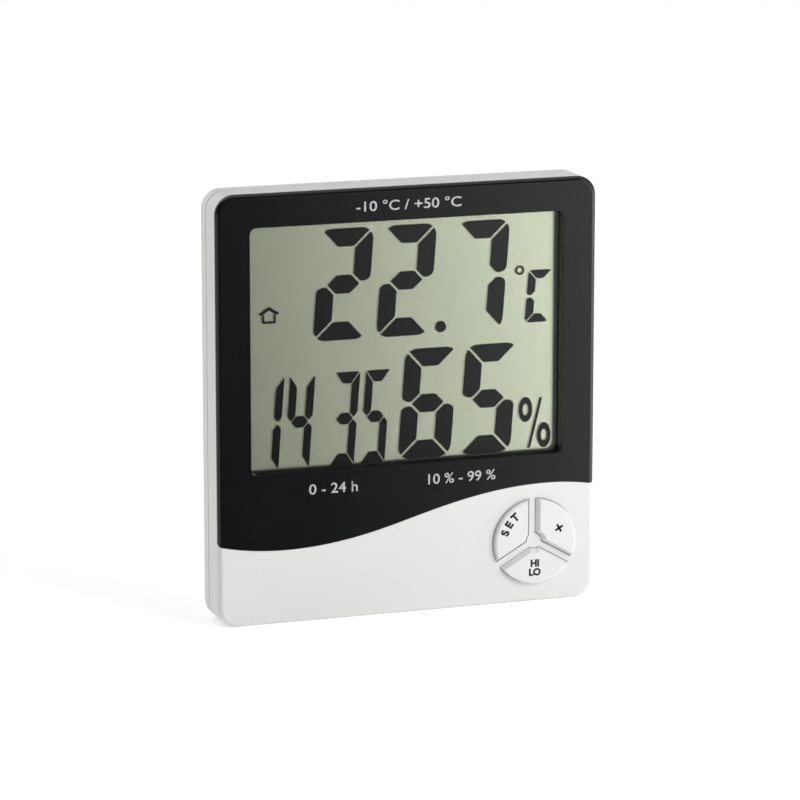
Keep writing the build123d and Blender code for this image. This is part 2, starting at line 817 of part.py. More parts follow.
# Contacts: a plate at each end of the tray with a solder tab below it, and a leaf towards the cell
with BuildPart() as battery_plus_contact:
    with BuildSketch(Plane.YZ.offset(tray_length / 2 - contact_thickness)):
        contact_plate()
    extrude(amount=contact_thickness)
battery_plus_contact.part.label = "battery_plus_contact"
export_step(battery_plus_contact.part, "parts/battery_plus_contact.step")

with BuildPart() as battery_minus_contact:
    with BuildSketch(Plane.YZ.offset(-tray_length / 2)):
        contact_plate()
    extrude(amount=contact_thickness)
    with BuildSketch(Plane.XY.offset(cell_z - leaf_width / 2)):
        with BuildLine():
            leaf_tip_x = cell_x - (cell_length + contact_thickness) / 2
            Polyline(
                ((contact_thickness - tray_length) / 2, cell_y + leaf_reach),
                (leaf_tip_x, cell_y + leaf_flat / 2),
                (leaf_tip_x, cell_y - leaf_flat / 2),
                (leaf_tip_x - spring_length / 2, cell_y - leaf_reach),
            )
        trace(line_width=contact_thickness)
    extrude(amount=leaf_width)
battery_minus_contact.part.label = "battery_minus_contact"
export_step(battery_minus_contact.part, "parts/battery_minus_contact.step")

# Leads from the solder tabs to the board
for lead_name, side in (("red_lead", 1), ("black_lead", -1)):
    tab_x = side * (tray_length / 2 - contact_thickness)
    tab_z = tab_end_z + tab_length / 2
    drop_x = tab_x - side * lead_drop_inset
    runs = (lead_drop_inset, tab_z - lead_board_z, cell_depth - board_back)
    bends = [lead_bend_share * min(pair) for pair in zip(runs, runs[1:])]
    print(lead_name, "bend radii", bends)
    with BuildPart() as lead:
        with BuildLine() as route:
            FilletPolyline(
                (tab_x, cell_y, tab_z),
                (drop_x, cell_y, tab_z),
                (drop_x, cell_y, lead_board_z),
                (drop_x, board_back - half_depth, lead_board_z),
                radius=bends,
            )
        with BuildSketch(Plane(origin=route.wire() @ 0, z_dir=route.wire() % 0)):
            Circle(lead_radius)
        sweep()
    lead.part.label = lead_name
    export_step(lead.part, f"parts/{lead_name}.step")

# Battery door, with tongues at its upper edge and grip grooves
with BuildPart() as battery_door:
    with BuildSketch(layer(door_depth)):
        with Locations((0, cell_z)):
            RectangleRounded(door_width, door_height, door_corner)
    extrude(amount=-door_thickness)
    with BuildSketch(layer(door_depth)):
        with Locations((0, door_top_z + tongue_lap - tongue_length / 2)):
            with GridLocations(tongue_spacing, 0, 2, 1):
                Rectangle(tongue_width, tongue_length)
    extrude(amount=tongue_thickness)
    with BuildSketch(layer(back_depth)):
        with Locations((0, cell_z)):
            with GridLocations(0, grip_pitch, 1, grip_count):
                SlotOverall(grip_length, grip_width)
    extrude(amount=grip_depth, mode=Mode.SUBTRACT)
battery_door.part.label = "battery_door"
export_step(battery_door.part, "parts/battery_door.step")

# Stand: a leg with a round upper edge, two hinge stubs and a sunk panel
with BuildPart() as stand:
    with BuildSketch(layer(stand_depth)) as leg:
        with Locations((0, (hinge_z + stand_end_z) / 2)):
            Rectangle(stand_width, stand_length)
        fillet(leg.vertices().group_by(Axis.Y)[0], stand_round)
    extrude(amount=-stand_thickness)
    with Locations((0, hinge_y, hinge_z)):
        Cylinder(hinge_radius, stand_width, rotation=(0, 90, 0))
        Cylinder(stub_radius, stand_width + 2 * (stand_gap + stub_length), rotation=(0, 90, 0))
    with BuildSketch(layer(back_depth)):
        with Locations((0, (hinge_z + stand_end_z) / 2)):
            RectangleRounded(
                stand_width - 2 * panel_margin, stand_length - 2 * panel_margin, stand_round
            )
    extrude(amount=panel_depth, mode=Mode.SUBTRACT)
stand.part.label = "stand"
export_step(stand.part, "parts/stand.step")

# Screws: each group is one node of separate screws, heads to the back
for group_name, places, seat, radius, length, head_radius, head in (
    (
        "case_screws", case_screw_places, screw_seat,
        case_screw_radius, case_screw_length, case_screw_head_radius, case_screw_head,
    ),
    (
        "board_screws", board_screw_places, board_back,
        small_screw_radius, small_screw_length, small_screw_head_radius, small_screw_head,
    ),
    (
        "lcd_frame_screws", ear_places, ear_depth + ear_thickness,
        small_screw_radius, small_screw_length, small_screw_head_radius, small_screw_head,
    ),
):
    with BuildPart() as screws:
        with BuildSketch(layer(seat)):
            with Locations(*places):
                Circle(radius)
        extrude(amount=length)
        with BuildSketch(layer(seat)):
            with Locations(*places):
                Circle(head_radius)
        extrude(amount=-head)
        with BuildSketch(layer(seat + head)):
            with Locations(*places):
                Rectangle(cross_length, cross_width)
                Rectangle(cross_width, cross_length)
        extrude(amount=cross_depth, mode=Mode.SUBTRACT)
    screws.part.label = group_name
    export_step(screws.part, f"parts/{group_name}.step")
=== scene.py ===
"""Looks of a thermometer hygrometer clock: finishes, display readings, legends, light and camera."""

import math

import bmesh
import bpy
from mathutils import Matrix, Vector


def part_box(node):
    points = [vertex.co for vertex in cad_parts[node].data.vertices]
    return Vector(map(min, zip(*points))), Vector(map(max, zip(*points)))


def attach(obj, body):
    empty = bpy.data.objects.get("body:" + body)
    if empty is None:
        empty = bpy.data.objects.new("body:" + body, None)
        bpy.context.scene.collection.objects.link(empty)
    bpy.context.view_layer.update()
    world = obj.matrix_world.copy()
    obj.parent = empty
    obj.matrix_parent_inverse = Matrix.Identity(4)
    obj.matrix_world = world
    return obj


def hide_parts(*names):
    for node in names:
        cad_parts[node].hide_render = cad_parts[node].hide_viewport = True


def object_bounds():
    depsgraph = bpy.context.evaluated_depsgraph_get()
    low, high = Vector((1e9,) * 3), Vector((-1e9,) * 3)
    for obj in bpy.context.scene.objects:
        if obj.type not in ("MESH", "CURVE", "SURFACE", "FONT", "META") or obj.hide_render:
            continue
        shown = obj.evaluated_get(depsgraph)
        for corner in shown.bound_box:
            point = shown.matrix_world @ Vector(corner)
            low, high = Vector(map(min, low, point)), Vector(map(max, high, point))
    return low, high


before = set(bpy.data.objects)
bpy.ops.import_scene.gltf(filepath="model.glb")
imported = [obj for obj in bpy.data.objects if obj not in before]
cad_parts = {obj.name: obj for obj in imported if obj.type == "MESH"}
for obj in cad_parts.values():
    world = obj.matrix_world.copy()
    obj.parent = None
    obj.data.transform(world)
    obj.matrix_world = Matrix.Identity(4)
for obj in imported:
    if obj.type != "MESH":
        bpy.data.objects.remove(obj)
cad_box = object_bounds()

MM = 0.001

# Camera, where the photograph was taken from
VIEW_YAW = math.radians(19.184)
VIEW_PITCH = math.radians(12.023)
VIEW_DISTANCE = 1044.3 * MM
VIEW_TARGET = Vector((-2.317, -6.625, 54.502)) * MM
VIEW_LENS = 189.82
VIEW_SENSOR = 36.0
VIEW_RANGE = (0.01, 20.0)

# Floor and lamp, in metres and watts
FLOOR_HALF = 4.0
FLOOR_GAP = 0.05 * MM
FLOOR_GLOW = 0.29
LAMP_SIZE = 0.22
LAMP_POWER = 0.84
LAMP_PLACE = Vector((0.19, -0.26, 0.20))
LAMP_AIM = Vector((0.0, 0.0, 0.05))

# Surroundings: degrees of azimuth, from straight in front towards the clock's right, and of elevation
DIM_LEVEL = 0.04
WALL_LEVEL = 0.9
RIGHT_WALL_EDGE = (16.4, 24.8)
RIGHT_WALL_FADE = (55.0, 95.0)
RIGHT_WALL_LOSS = 0.6
EDGE_SLANT_PIVOT = 11.75
EDGE_SLANT_BELOW = 0.35
EDGE_SLANT_ABOVE = 0.6
LEFT_WALL_EDGE = (-55.0, -25.0)
LEFT_WALL_SHARE = 0.85
LEFT_WALL_STEP = (-4.0, 4.0)
LEFT_WALL_DRAWN_BACK = 70.0
CEILING_EDGE = (35.0, 60.0)
CEILING_SHARE = 0.8
SCREEN_EDGE = (20.5, 30.5)
SCREEN_FADE = (75.0, 110.0)
SCREEN_TOP = (-6.0, 6.0)
SCREEN_LEVEL = 1.95
FILL_EDGE = (-125.0, -90.0)
FILL_FOOT = (0.0, 10.0)
FILL_LEVEL = 0.75

# Planes of the display and the prints, from the frame
FRONT_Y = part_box("bezel")[0].y
SEGMENT_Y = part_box("lcd_front_glass")[1].y
FILM_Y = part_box("lcd_reflector")[0].y
KEY_TOP_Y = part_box("left_key")[0].y
KEY_CENTRE = Vector((33.4, 15.8))
SEGMENT_THICKNESS = 0.02
SHADE_THICKNESS = 0.004
SHADE_AIR = 0.008
SHADE_SHIFT = -0.26
FILM_INSET = 0.02
FILM_CORNER = 1.2
PRINT_THICKNESS = 0.015
KEY_PRINT_THICKNESS = 0.006

# How finely outlines are divided and joined, and how many clear faces a ray may pass
CORNER_STEPS = 6
CIRCLE_STEPS = 40
LETTER_STEPS = 6
LETTER_WELD = 1e-5
CLEAR_FACES = 24

# Digits of the display: sizes in millimetres, lean as sideways shift per height
LEAN = 0.077
TALL_DIGIT = {
    "width": 13.9,
    "height": 27.9,
    "upright": 4.55,
    "level": 4.6,
    "gap": 0.6,
    "corner": 3.2,
    "tip": 2.8,
    "end_flat": 0.7,
    "end_rise": 1.65,
    "end_steps": 6,
}
CLOCK_DIGIT = {
    "width": 6.5,
    "height": 23.45,
    "upright": 2.0,
    "level": 2.9,
    "gap": 0.3,
    "corner": 0.7,
    "tip": 1.1,
    "end_flat": 0.0,
    "end_rise": 1.2,
    "end_steps": 1,
}
UNIT_DIGIT = {
    "width": 6.45,
    "height": 13.3,
    "upright": 2.15,
    "level": 2.2,
    "gap": 0.3,
    "corner": 1.3,
    "tip": 1.3,
    "end_flat": 0.2,
    "end_rise": 0.75,
    "end_steps": 6,
}
READINGS = [
    (TALL_DIGIT, (-15.98, 83.94), "abged"),
    (TALL_DIGIT, (0.47, 83.94), "abged"),
    (TALL_DIGIT, (19.74, 83.94), "abc"),
    (TALL_DIGIT, (6.09, 52.59), "afgecd"),
    (TALL_DIGIT, (22.09, 52.59), "afgcd"),
    (UNIT_DIGIT, (35.42, 77.9), "afed"),
    (CLOCK_DIGIT, (-35.43, 50.15), "bc"),
    (CLOCK_DIGIT, (-27.45, 50.15), "fbgc"),
    (CLOCK_DIGIT, (-15.78, 50.15), "abgcd"),
    (CLOCK_DIGIT, (-7.75, 50.15), "afgcd"),
]
POINT_CENTRE = (9.42, 71.7)
POINT_RADIUS = 1.44
DEGREE_CENTRE = (30.35, 84.68)
DEGREE_OUTER = 1.2
DEGREE_INNER = 0.68
PERCENT_RINGS = [(32.08, 49.05), (37.05, 42.25)]
PERCENT_OUTER = (1.84, 3.22)
PERCENT_INNER = (0.75, 1.49)
PERCENT_BAR = [(33.0, 39.12), (36.2, 51.92)]
PERCENT_BAR_WIDTH = 0.72
HOUSE_CENTRE = (-35.2, 77.4)
HOUSE_SIZE = (5.2, 4.2)
HOUSE_WALL = 0.55

# Prints on the bezel and the keys: text, middle, width and height of its capitals
BEZEL_PRINTS = [
    ("range_print", "-10 °C / +50 °C", (0.0, 103.5), 27.4, 2.5),
    ("hours_print", "0 - 24 h", (-19.75, 33.52), 12.7, 2.6),
    ("share_print", "10 % - 99 %", (14.05, 33.75), 17.9, 2.6),
]
BEZEL_PRINT_WEIGHT = 0.012
KEY_PRINT_WEIGHT = 0.06
ARC_PRINT = "SET"
ARC_PRINT_RADIUS = 8.7
ARC_PRINT_MIDDLE = math.radians(145.4)
ARC_PRINT_STEP = math.radians(15.5)
ARC_PRINT_HEIGHT = 2.25
PLUS_CENTRE = (39.69, 18.86)
PLUS_TURN = math.radians(30.0)
PLUS_SPAN = 2.3
PLUS_STROKE = 0.6
LINE_PRINTS = [("HI", (33.2, 10.25)), ("LO", (33.2, 7.95))]
LINE_PRINT_HEIGHT = 1.95


class Value:
    """A socket of a node tree. Arithmetic on it adds Math nodes."""

    def __init__(self, nodes, socket):
        self.nodes = nodes
        self.socket = socket

    def math(self, operation, first, second=0.0):
        return self.nodes.node("ShaderNodeMath", {"operation": operation}, {0: first, 1: second})

    def __add__(self, other):
        return self.math("ADD", self, other)

    def __radd__(self, other):
        return self.math("ADD", other, self)

    def __sub__(self, other):
        return self.math("SUBTRACT", self, other)

    def __rsub__(self, other):
        return self.math("SUBTRACT", other, self)

    def __mul__(self, other):
        return self.math("MULTIPLY", self, other)

    def __rmul__(self, other):
        return self.math("MULTIPLY", other, self)

    def __truediv__(self, other):
        return self.math("DIVIDE", self, other)

    def __rtruediv__(self, other):
        return self.math("DIVIDE", other, self)


class Nodes:
    """The node tree of a material or of the world."""

    def __init__(self, owner):
        owner.use_nodes = True
        self.tree = owner.node_tree
        self.tree.nodes.clear()

    def node(self, kind, settings=None, sockets=None, output=0):
        """Adds a node: its settings are set first, then the values or links of its sockets."""
        made = self.tree.nodes.new(kind)
        for name, value in (settings or {}).items():
            setattr(made, name, value)
        for name, value in (sockets or {}).items():
            if isinstance(value, Value):
                self.tree.links.new(value.socket, made.inputs[name])
            else:
                made.inputs[name].default_value = value
        return Value(self, made.outputs[output]) if made.outputs else None

    def place(self):
        """The point on the surface in the clock's own frame, in metres."""
        return self.node("ShaderNodeTexCoord", output="Object")

    def axis(self, vector, name):
        return self.node("ShaderNodeSeparateXYZ", None, {0: vector}, output=name)

    def noise(self, per_mm, detail=2.0, roughness=0.5):
        """Noise with so many cells in a millimetre, from 0 to 1."""
        sockets = {"Vector": self.place(), "Scale": per_mm / MM, "Detail": detail, "Roughness": roughness}
        return self.node("ShaderNodeTexNoise", None, sockets)

    def smooth(self, value, low, high, to_low=0.0, to_high=1.0):
        """A soft step of the value between two limits."""
        settings = {"interpolation_type": "SMOOTHSTEP"}
        sockets = {"Value": value, "From Min": low, "From Max": high, "To Min": to_low, "To Max": to_high}
        return self.node("ShaderNodeMapRange", settings, sockets)

    def blend(self, share, first, second):
        """A colour between two colours."""
        return self.node("ShaderNodeMix", {"data_type": "RGBA"}, {0: share, 6: first, 7: second}, output=2)

    def bump(self, height, distance_mm, strength=1.0):
        sockets = {"Height": height, "Distance": distance_mm * MM, "Strength": strength}
        return self.node("ShaderNodeBump", None, sockets)

    def surface(self, sockets):
        """A Principled shader on the output."""
        shader = self.node("ShaderNodeBsdfPrincipled", None, sockets)
        self.node("ShaderNodeOutputMaterial", None, {"Surface": shader})


def new_finish(name):
    material = bpy.data.materials.new(name)
    return material, Nodes(material)


def grey(level, tint=(1.0, 1.0, 1.0)):
    return (level * tint[0], level * tint[1], level * tint[2], 1.0)


# Finishes


def moulded_white(name, level, tint, roughness, grain_mm):
    """White moulded plastic with a fine eroded grain and a faint clouding."""
    material, nodes = new_finish(name)
    cloud = nodes.noise(0.06, 3.0)
    grain = nodes.noise(7.0, 2.0, 0.6)
    flecks = nodes.smooth(nodes.noise(1.3, 1.0), 0.68, 0.75)
    colour = nodes.blend(cloud, grey(level * 0.975, tint), grey(level * 1.015, tint))
    nodes.surface({
        "Base Color": nodes.blend(flecks * 0.05, colour, grey(level * 0.8, (1.0, 0.98, 0.94))),
        "Roughness": roughness + (cloud - 0.5) * 0.12 + (grain - 0.5) * 0.08,
        "Specular IOR Level": 0.45,
        "Normal": nodes.bump(grain, grain_mm, 0.6),
    })
    return material


def gloss_black():
    """Black gloss plastic, with a breath of dust and faint wiping marks."""
    material, nodes = new_finish("bezel_gloss_black")
    wipe = nodes.noise(0.12, 4.0, 0.6)
    dust = nodes.smooth(nodes.noise(2.4, 1.0), 0.74, 0.8)
    base = nodes.blend(wipe, (0.0035, 0.004, 0.0045, 1.0), (0.0055, 0.006, 0.0065, 1.0))
    nodes.surface({
        "Base Color": nodes.blend(dust * 0.05, base, grey(0.4)),
        "Roughness": 0.07 + wipe * 0.05 + dust * 0.08,
        "IOR": 1.5,
    })
    return material


def clear_sheet(name, tint, gloss_ior):
    """A clear pane: light passes straight through, and the faces mirror by their angle."""
    material, nodes = new_finish(name)
    smear = nodes.noise(0.1, 3.0)
    clear = nodes.node("ShaderNodeBsdfTransparent", None, {"Color": tint})
    gloss = nodes.node("ShaderNodeBsdfGlossy", None, {"Roughness": 0.03 + smear * 0.04})
    mirror = nodes.node("ShaderNodeFresnel", None, {"IOR": gloss_ior})
    inside = nodes.node("ShaderNodeNewGeometry", output="Backfacing")
    share = mirror * (1.0 - inside)
    mixed = nodes.node("ShaderNodeMixShader", None, {0: share, 1: clear, 2: gloss})
    nodes.node("ShaderNodeOutputMaterial", None, {"Surface": mixed})
    return material


def display_film():
    """The display's grey-green reflecting film, with the fine sparkle of its flakes."""
    material, nodes = new_finish("display_film")
    sparkle = nodes.noise(9.0, 1.0)
    cloud = nodes.noise(0.05, 2.0)
    low = (0.77, 0.815, 0.65, 1.0)
    high = (0.845, 0.89, 0.72, 1.0)
    nodes.surface({
        "Base Color": nodes.blend(sparkle * 0.6 + cloud * 0.4, low, high),
        "Roughness": 0.185 + sparkle * 0.02,
        "Metallic": 0.97,
        "Normal": nodes.bump(sparkle, 0.0005, 0.2),
    })
    return material


def display_ink(name, level, tint):
    """Darkened liquid crystal, a little uneven over its area."""
    material, nodes = new_finish(name)
    cloud = nodes.noise(0.5, 2.0)
    nodes.surface({
        "Base Color": nodes.blend(cloud, grey(level * 0.85, tint), grey(level * 1.15, tint)),
        "Roughness": 0.5 + cloud * 0.15,
        "Specular IOR Level": 0.05,
    })
    return material


def segment_shade():
    """The weak shadow that the dark shapes throw on the film."""
    material, nodes = new_finish("segment_shade")
    cloud = nodes.noise(0.5, 2.0)
    nodes.surface({
        "Base Color": nodes.blend(cloud, grey(0.04), grey(0.06)),
        "Roughness": 0.8 + cloud * 0.1,
        "Specular IOR Level": 0.0,
        "Alpha": 0.2,
    })
    return material


def print_ink(name, level, tint):
    """Pad-printed ink with slightly uneven cover."""
    material, nodes = new_finish(name)
    cover = nodes.noise(3.0, 3.0)
    nodes.surface({
        "Base Color": nodes.blend(cover, grey(level * 0.88, tint), grey(level * 1.08, tint)),
        "Roughness": 0.45 + cover * 0.2,
        "Normal": nodes.bump(cover, 0.003, 0.5),
    })
    return material


def worn_finish(name, dark, light, per_mm, roughness, metallic=0.0, grain_mm=0.01):
    """A finish that wanders between two colours, with a grain of that scale."""
    material, nodes = new_finish(name)
    grain = nodes.noise(per_mm, 3.0)
    cloud = nodes.noise(per_mm * 0.12, 2.0)
    nodes.surface({
        "Base Color": nodes.blend(grain * 0.5 + cloud * 0.5, dark, light),
        "Roughness": roughness + (cloud - 0.5) * 0.2,
        "Metallic": metallic,
        "Normal": nodes.bump(grain, grain_mm, 0.7),
    })
    return material


def solder_mask():
    """Green circuit board with copper tracks under the mask and a woven glass ground."""
    material, nodes = new_finish("board_solder_mask")
    place = nodes.place()
    tracks_sockets = {"Vector": place, "Scale": 0.45 / MM, "Distortion": 2.0, "Detail": 1.0}
    tracks = nodes.node("ShaderNodeTexWave", {"bands_direction": "X"}, tracks_sockets)
    copper = nodes.smooth(tracks, 0.62, 0.7)
    weave = nodes.noise(2.5, 2.0)
    ground = nodes.blend(weave, (0.006, 0.10, 0.045, 1.0), (0.010, 0.14, 0.06, 1.0))
    nodes.surface({
        "Base Color": nodes.blend(copper, ground, (0.03, 0.25, 0.11, 1.0)),
        "Roughness": 0.32 + weave * 0.1,
        "Normal": nodes.bump(copper, 0.03, 0.6),
    })
    return material


def striped_rubber():
    """Connector rubber in thin dark and pale layers along its length."""
    material, nodes = new_finish("connector_layers")
    sockets = {"Vector": nodes.place(), "Scale": 1.6 / MM, "Distortion": 0.0}
    layers = nodes.node("ShaderNodeTexWave", {"bands_direction": "X"}, sockets)
    dark = nodes.smooth(layers, 0.45, 0.55)
    nodes.surface({
        "Base Color": nodes.blend(dark, (0.55, 0.48, 0.46, 1.0), (0.02, 0.02, 0.022, 1.0)),
        "Roughness": 0.6 + dark * 0.1,
    })
    return material


def cell_wrap():
    """Printed sleeve of the cell: pale grey with one blue band, and metal at both ends."""
    material, nodes = new_finish("cell_wrap")
    low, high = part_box("battery_cell")
    length = high.x - low.x
    along = (nodes.axis(nodes.place(), "X") - low.x) / length
    band = nodes.smooth(along, 0.70, 0.705) - nodes.smooth(along, 0.90, 0.905)
    sleeve = nodes.smooth(along, 0.012, 0.016) - nodes.smooth(along, 0.955, 0.959)
    scuff = nodes.noise(1.2, 4.0)
    printed = nodes.blend(band, (0.60, 0.61, 0.62, 1.0), (0.03, 0.10, 0.30, 1.0))
    nodes.surface({
        "Base Color": nodes.blend(sleeve, (0.68, 0.67, 0.65, 1.0), printed),
        "Roughness": 0.26 + scuff * 0.14,
        "Metallic": 1.0 - sleeve * 0.85,
        "Normal": nodes.bump(scuff, 0.006, 0.5),
    })
    return material


def pale_floor():
    """Matt white table top, lit from below a little."""
    material, nodes = new_finish("pale_floor")
    cloud = nodes.noise(0.004, 2.0)
    nodes.surface({
        "Base Color": nodes.blend(cloud, grey(0.955), grey(0.965)),
        "Roughness": 0.85 + cloud * 0.1,
        "Specular IOR Level": 0.1,
        "Emission Color": grey(1.0),
        "Emission Strength": FLOOR_GLOW,
    })
    return material


def dress_nodes(film):
    """Gives every node of the frame its finish."""
    warm = (1.0, 0.998, 0.985)
    case = moulded_white("case_moulded_white", 0.685, warm, 0.42, 0.012)
    keys = moulded_white("key_moulded_white", 0.70, warm, 0.36, 0.006)
    steel = worn_finish("screw_steel", (0.45, 0.45, 0.46, 1.0), (0.62, 0.62, 0.63, 1.0), 3.0, 0.3, 1.0)
    nickel = worn_finish("contact_nickel", (0.55, 0.53, 0.49, 1.0), (0.7, 0.68, 0.64, 1.0), 3.0, 0.26, 1.0)
    sensor = worn_finish("sensor_blue", (0.02, 0.09, 0.28, 1.0), (0.04, 0.14, 0.38, 1.0), 3.0, 0.45)
    red_pvc = worn_finish("lead_red_pvc", (0.38, 0.01, 0.01, 1.0), (0.5, 0.02, 0.015, 1.0), 2.0, 0.4)
    carbon = worn_finish("pill_carbon", grey(0.01), grey(0.025), 5.0, 0.6)
    finishes = {
        "front_shell": case,
        "rear_shell": case,
        "stand": case,
        "battery_door": case,
        "left_key": keys,
        "right_key": keys,
        "bottom_key": keys,
        "bezel": gloss_black(),
        "display_lens": clear_sheet("lens_clear", grey(0.99), 1.6),
        "lcd_front_glass": clear_sheet("front_glass_clear", (0.985, 0.99, 0.98, 1.0), 1.1),
        "lcd_rear_glass": clear_sheet("rear_glass_clear", (0.985, 0.99, 0.98, 1.0), 1.02),
        "lcd_reflector": film,
        "lcd_frame": worn_finish("frame_grey_plastic", grey(0.10), grey(0.14), 4.0, 0.5),
        "zebra_strip": striped_rubber(),
        "circuit_board": solder_mask(),
        "controller_blob": worn_finish("chip_resin", grey(0.012), grey(0.03), 1.5, 0.28),
        "clock_crystal": worn_finish("crystal_can", grey(0.5), grey(0.66), 2.0, 0.25, 1.0),
        "thermistor": worn_finish("bead_epoxy", grey(0.015), grey(0.035), 3.0, 0.35),
        "humidity_sensor": sensor,
        "buzzer": worn_finish("buzzer_black", grey(0.015), grey(0.03), 4.0, 0.4),
        "key_mat": worn_finish("mat_silicone", grey(0.30), grey(0.38), 3.0, 0.55),
        "left_key_pill": carbon,
        "right_key_pill": carbon,
        "bottom_key_pill": carbon,
        "battery_cell": cell_wrap(),
        "battery_plus_contact": nickel,
        "battery_minus_contact": nickel,
        "red_lead": red_pvc,
        "black_lead": worn_finish("lead_black_pvc", grey(0.012), grey(0.03), 2.0, 0.4),
        "case_screws": steel,
        "board_screws": steel,
        "lcd_frame_screws": steel,
    }
    for name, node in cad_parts.items():
        node.data.materials.clear()
        node.data.materials.append(finishes[name])


# Flat shapes of the display and the prints, as outlines in millimetres


def arc_points(centre, radii, start, end, steps):
    """Points on an arc of an ellipse, both ends included."""
    turns = [start + (end - start) * i / steps for i in range(steps + 1)]
    return [(centre[0] + radii[0] * math.cos(t), centre[1] + radii[1] * math.sin(t)) for t in turns]


def top_segment(width, height, upright, level, gap, corner):
    """Outline of the top segment, about the digit's centre: mitred ends, rounded outer corners."""
    half, rise = width / 2, height / 2
    shift = gap / math.sqrt(2)
    meet = math.radians(45) + math.asin(shift / (corner * math.sqrt(2)))
    right = arc_points((half - corner, rise - corner), (corner, corner), math.radians(90), meet, CORNER_STEPS)
    right.append((half - upright - shift, rise - level))
    return right + [(-x, z) for x, z in reversed(right)]


def upper_segment(width, height, upright, level, gap, corner, tip, end_flat, end_rise, end_steps):
    """Outline of the upper right segment, about the digit's centre."""
    half, rise = width / 2, height / 2
    shift = gap / math.sqrt(2)
    meet = math.radians(45) - math.asin(shift / (corner * math.sqrt(2)))
    points = arc_points((half - corner, rise - corner), (corner, corner), meet, 0.0, CORNER_STEPS)
    run = upright + gap - tip
    slope = (level / 2) / run
    offset = gap * math.hypot(run, level / 2) / (level / 2)
    mitre_foot = half - tip + offset - gap / slope
    round_run = half - mitre_foot - end_flat
    round_centre = (half - round_run, gap + end_rise)
    points += arc_points(round_centre, (round_run, end_rise), 0.0, math.radians(-90), end_steps)
    if end_flat > 0:
        points.append((mitre_foot, gap))
    points.append((half - upright, (upright - tip + offset) * slope))
    points.append((half - upright, rise - level - shift))
    return points


def middle_segment(width, upright, level, gap, tip):
    """Outline of the middle segment: a bar pointed at both ends."""
    flat = width / 2 - upright - gap
    point = width / 2 - tip
    rise = level / 2
    return [(point, 0), (flat, rise), (-flat, rise), (-point, 0), (-flat, -rise), (flat, -rise)]


def digit_outlines(size, centre, lit):
    """Outlines of the lit segments of a digit, leaning to the right."""
    ends = [size[name] for name in ("tip", "end_flat", "end_rise", "end_steps")]
    body = [size[name] for name in ("width", "height", "upright", "level", "gap")]
    top = top_segment(*body, size["corner"])
    upper = upper_segment(*body, size["corner"], *ends)
    middle = middle_segment(size["width"], size["upright"], size["level"], size["gap"], size["tip"])
    shapes = {
        "a": top,
        "b": upper,
        "c": [(x, -z) for x, z in upper],
        "d": [(x, -z) for x, z in top],
        "e": [(-x, -z) for x, z in upper],
        "f": [(-x, z) for x, z in upper],
        "g": middle,
    }
    return [[(centre[0] + x + LEAN * z, centre[1] + z) for x, z in shapes[name]] for name in lit]


def bar_outline(start, end, width):
    """A straight bar between two points, with level ends."""
    half = width / 2
    return [
        (start[0] - half, start[1]),
        (start[0] + half, start[1]),
        (end[0] + half, end[1]),
        (end[0] - half, end[1]),
    ]


def house_outlines(centre, size, wall):
    """A small house, the sign for the indoor reading: roof, two walls and floor."""
    half, rise = size[0] / 2, size[1] / 2
    eave = 0.1 * size[1]
    roof = [(0, rise), (half, eave), (half - wall, eave - wall), (0, rise - 1.6 * wall)]
    roof += [(-half + wall, eave - wall), (-half, eave)]
    side = half - 1.5 * wall
    inner = side - wall
    left = [(-side, eave - wall), (-inner, eave - wall * 0.4), (-inner, -rise), (-side, -rise)]
    right = [(-x, z) for x, z in left]
    sill = [(-inner, -rise + wall), (inner, -rise + wall), (inner, -rise), (-inner, -rise)]
    shapes = [roof, left, right, sill]
    return [[(centre[0] + x, centre[1] + z) for x, z in shape] for shape in shapes]


def front_prism(mesh, outline, near_y, far_y):
    """Adds a plate between two planes: its outline is in millimetres, the planes are in metres."""
    near = [mesh.verts.new((x * MM, near_y, z * MM)) for x, z in outline]
    far = [mesh.verts.new((x * MM, far_y, z * MM)) for x, z in outline]
    mesh.faces.new(near)
    mesh.faces.new(list(reversed(far)))
    for i in range(len(outline)):
        j = (i + 1) % len(outline)
        mesh.faces.new((near[j], near[i], far[i], far[j]))


def front_ring(mesh, outer, inner, near_y, far_y):
    """Adds a ring between two planes, in metres, and two outlines with as many points, in millimetres."""
    rings = []
    for outline, y in ((outer, near_y), (inner, near_y), (inner, far_y), (outer, far_y)):
        rings.append([mesh.verts.new((x * MM, y, z * MM)) for x, z in outline])
    for k in range(4):
        first, second = rings[k], rings[(k + 1) % 4]
        for i in range(len(outer)):
            j = (i + 1) % len(outer)
            mesh.faces.new((first[i], first[j], second[j], second[i]))


def finish_piece(name, mesh, material, body):
    """Turns a bmesh into a piece that rides on a body."""
    bmesh.ops.recalc_face_normals(mesh, faces=mesh.faces)
    data = bpy.data.meshes.new(name)
    mesh.to_mesh(data)
    mesh.free()
    data.materials.append(material)
    piece = bpy.data.objects.new(name, data)
    bpy.context.scene.collection.objects.link(piece)
    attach(piece, body)
    return piece


def circle(centre, radii):
    """Points round a circle or an ellipse."""
    return arc_points(centre, radii, 0.0, math.tau, CIRCLE_STEPS)[:-1]


def rounded_sheet(low, high, corner):
    """Outline of a sheet with round corners between two opposite corners."""
    points = []
    turn = math.radians(90)
    for i, (x, z) in enumerate(((high[0], high[1]), (low[0], high[1]), (low[0], low[1]), (high[0], low[1]))):
        centre = (x - corner if x == high[0] else x + corner, z - corner if z == high[1] else z + corner)
        points += arc_points(centre, (corner, corner), turn * i, turn * (i + 1), CORNER_STEPS)
    return points


